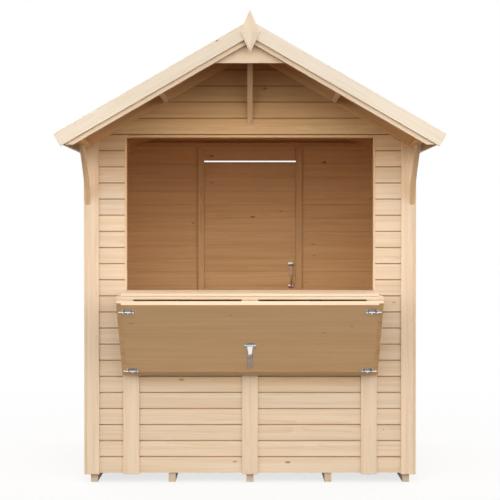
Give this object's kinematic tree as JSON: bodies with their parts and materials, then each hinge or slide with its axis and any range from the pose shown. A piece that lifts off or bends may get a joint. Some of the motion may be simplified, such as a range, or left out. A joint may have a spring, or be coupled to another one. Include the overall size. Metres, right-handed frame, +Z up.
{
  "type": "wooden market stall",
  "caption": "Small boarded timber stall with a gabled roof, a serving window with a fold-down counter propped by its folding panel, and a hinged door at the back.",
  "frame": {"origin": "on the ground under the middle of the whole stall, roof included", "axes": "+Z up, -Y towards the serving front, +X to the right seen from the front"},
  "size_m": [2.03, 1.951, 2.53],
  "materials": {
    "pine_boards": "bare planed tongue-and-groove boards",
    "pine_timber": "bare planed timber",
    "galvanised_steel": "bright zinc plating"
  },
  "bodies": {
    "stall": {"floor_boards": "pine_boards", "front_wall_lower": "pine_boards", "front_wall_left": "pine_boards", "front_wall_right": "pine_boards", "front_gable": "pine_boards", "left_wall": "pine_boards", "right_wall": "pine_boards", "back_wall_left": "pine_boards", "back_wall_right": "pine_boards", "back_gable": "pine_boards", "roof_boards_left": "pine_boards", "roof_boards_right": "pine_boards", "counter_boards": "pine_boards", "prop_boards": "pine_boards", "floor_bearers": "pine_timber", "corner_posts": "pine_timber", "corner_trims_front": "pine_timber", "corner_trims_back": "pine_timber", "door_posts": "pine_timber", "back_tie_rail": "pine_timber", "door_casing": "pine_timber", "window_sill": "pine_timber", "window_linings": "pine_timber", "wall_battens": "pine_timber", "counter_top": "pine_timber", "prop_lining": "pine_timber", "front_rafters": "pine_timber", "purlins": "pine_timber", "ridge_board": "pine_timber", "wall_rafters": "pine_timber", "eaves_fascias": "pine_timber", "bargeboards_front": "pine_timber", "bargeboards_back": "pine_timber", "finial": "pine_timber", "gable_plate": "pine_timber", "side_brackets": "pine_timber", "ridge_bracket": "pine_timber", "shutter_hinges": "galvanised_steel", "shutter_bolts": "galvanised_steel", "shutter_hasp": "galvanised_steel", "door_hinge_plates": "galvanised_steel"},
    "door": {"door_boards": "pine_boards", "door_stiles": "pine_timber", "door_ledges": "pine_timber", "door_handle": "galvanised_steel", "door_hinges": "galvanised_steel"}
  },
  "joints": [
    {"name": "door_hinge", "type": "hinge", "parent": "stall", "child": "door", "pos_m": [-0.32675, 0.9455, 0.96], "axis": [0, 0, 1], "range_deg": [0, 110]}
  ]
}
